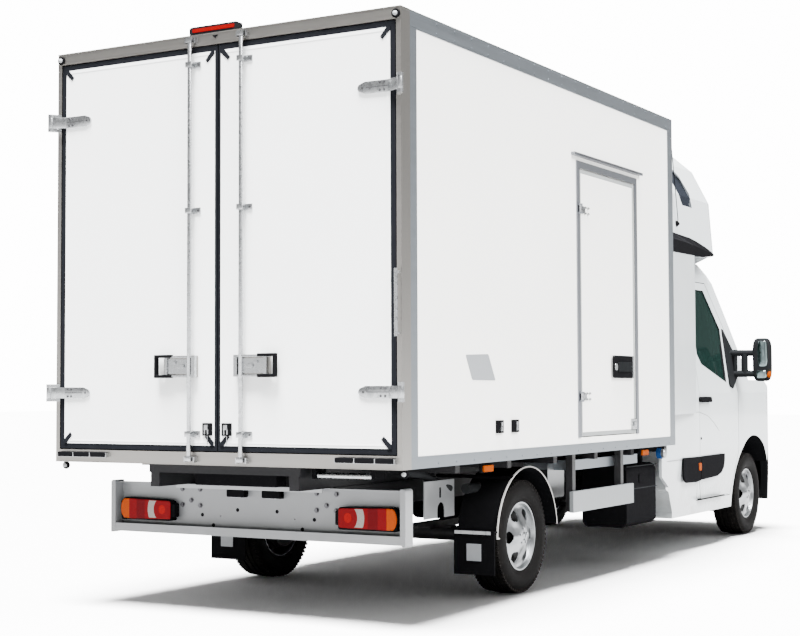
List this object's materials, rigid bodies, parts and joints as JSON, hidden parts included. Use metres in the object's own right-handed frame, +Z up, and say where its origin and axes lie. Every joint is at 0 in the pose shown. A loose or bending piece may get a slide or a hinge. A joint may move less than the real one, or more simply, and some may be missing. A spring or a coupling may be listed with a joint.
{
  "type": "refrigerated truck",
  "caption": "Light truck with a normal-control cab, a roof sleeping pod and an insulated box with rear double doors and a side door.",
  "frame": {"origin": "on the ground under the middle of the whole vehicle", "axes": "+Z up, -Y towards the front of the vehicle, +X towards its left side"},
  "size_m": [2.622, 6.996, 3.197],
  "materials": {
    "cab_paint": "smooth gloss paint, cool white",
    "box_skin": "smooth gloss laminate, warm white",
    "door_skin": "smooth gloss laminate, light grey-white",
    "seal": "matt dark slate",
    "anodised": "satin anodised",
    "stainless": "brushed along its length",
    "bright": "bright plated",
    "black_plastic": "fine grained",
    "grey_plastic": "fine grained",
    "glass": "light green tint",
    "lamp_lens": "clear coloured lens",
    "clear_lens": "clear lens over bright bowl",
    "frame_steel": "satin black paint",
    "beam_paint": "pale grey-white paint",
    "silver_paint": "satin silver paint",
    "tyre": "black tread rubber",
    "seat_cloth": "woven dark grey cloth",
    "cast": "as cast"
  },
  "bodies": {
    "body": {"box_edge_rails": "anodised", "box_fittings": "bright", "box_floor": "grey_plastic", "box_front_wall": "box_skin", "box_left_wall": "box_skin", "box_right_wall": "box_skin", "box_roof": "box_skin", "cab_shell": "cab_paint", "chassis_frame": "frame_steel", "cooling_unit": "box_skin", "dashboard": "grey_plastic", "engine_block": "cast", "front_bumper": "grey_plastic", "front_suspension": "frame_steel", "fuel_tank": "black_plastic", "grille": "black_plastic", "headlamps": "clear_lens", "lamp_beam": "beam_paint", "marker_lamps": "lamp_lens", "mudguards": "black_plastic", "pod_windows": "glass", "rear_axle": "frame_steel", "rear_door_frame": "stainless", "rear_lamps": "lamp_lens", "seats": "seat_cloth", "side_door_frame": "anodised", "side_fairings": "cab_paint", "side_guards": "anodised", "side_step": "anodised", "sleeper_pod": "cab_paint", "steering_wheel": "black_plastic", "tool_box": "black_plastic", "windscreen": "glass"},
    "rear_door_left": {"rear_door_left_panel": "door_skin", "rear_door_left_seal": "seal", "rear_door_left_gear": "bright"},
    "rear_door_right": {"rear_door_right_panel": "door_skin", "rear_door_right_seal": "seal", "rear_door_right_gear": "bright"},
    "side_door": {"side_door_panel": "box_skin", "side_door_seal": "seal", "side_door_gear": "bright"},
    "cab_door_left": {"cab_door_left_panel": "cab_paint", "cab_door_left_glass": "glass", "cab_door_left_trim": "black_plastic"},
    "cab_door_right": {"cab_door_right_panel": "cab_paint", "cab_door_right_glass": "glass", "cab_door_right_trim": "black_plastic"},
    "bonnet": {"bonnet": "cab_paint"},
    "left_knuckle": {"left_knuckle": "cast"},
    "right_knuckle": {"right_knuckle": "cast"},
    "front_left_wheel": {"front_left_wheel": "silver_paint", "front_left_tyre": "tyre"},
    "front_right_wheel": {"front_right_wheel": "silver_paint", "front_right_tyre": "tyre"},
    "rear_left_wheel": {"rear_left_wheel": "silver_paint", "rear_left_tyre": "tyre"},
    "rear_right_wheel": {"rear_right_wheel": "silver_paint", "rear_right_tyre": "tyre"}
  },
  "joints": [
    {"name": "rear_left_door_hinge", "type": "hinge", "parent": "body", "child": "rear_door_left", "pos_m": [1.158, 3.482, 2], "axis": [0, 0, -1], "range_deg": [0, 270]},
    {"name": "rear_right_door_hinge", "type": "hinge", "parent": "body", "child": "rear_door_right", "pos_m": [-1.158, 3.482, 2], "axis": [0, 0, 1], "range_deg": [0, 270]},
    {"name": "side_door_hinge", "type": "hinge", "parent": "body", "child": "side_door", "pos_m": [-1.156, 1.232, 1.75], "axis": [0, 0, -1], "range_deg": [0, 180]},
    {"name": "cab_left_door_hinge", "type": "hinge", "parent": "body", "child": "cab_door_left", "pos_m": [1.038, -2.229, 1], "axis": [0, 0, -1], "range_deg": [0, 60]},
    {"name": "cab_right_door_hinge", "type": "hinge", "parent": "body", "child": "cab_door_right", "pos_m": [-1.038, -2.229, 1], "axis": [0, 0, 1], "range_deg": [0, 60]},
    {"name": "bonnet_hinge", "type": "hinge", "parent": "body", "child": "bonnet", "pos_m": [0, -3.015, 1.26026], "axis": [-1, 0, 0], "range_deg": [0, 55]},
    {"name": "left_steer", "type": "hinge", "parent": "body", "child": "left_knuckle", "pos_m": [0.71, -2.628, 0.34], "axis": [0, 0, 1], "range_deg": [-36, 36]},
    {"name": "right_steer", "type": "hinge", "parent": "body", "child": "right_knuckle", "pos_m": [-0.71, -2.628, 0.34], "axis": [0, 0, 1], "range_deg": [-36, 36]},
    {"name": "front_left_spin", "type": "hinge", "parent": "left_knuckle", "child": "front_left_wheel", "pos_m": [0.875, -2.628, 0.34], "axis": [1, 0, 0], "continuous": true},
    {"name": "front_right_spin", "type": "hinge", "parent": "right_knuckle", "child": "front_right_wheel", "pos_m": [-0.875, -2.628, 0.34], "axis": [1, 0, 0], "continuous": true},
    {"name": "rear_left_spin", "type": "hinge", "parent": "body", "child": "rear_left_wheel", "pos_m": [0.865, 1.704, 0.34], "axis": [1, 0, 0], "continuous": true},
    {"name": "rear_right_spin", "type": "hinge", "parent": "body", "child": "rear_right_wheel", "pos_m": [-0.865, 1.704, 0.34], "axis": [1, 0, 0], "continuous": true}
  ],
  "couplings": [
    {"joint": "right_steer", "follows": "left_steer", "ratio": 1}
  ]
}
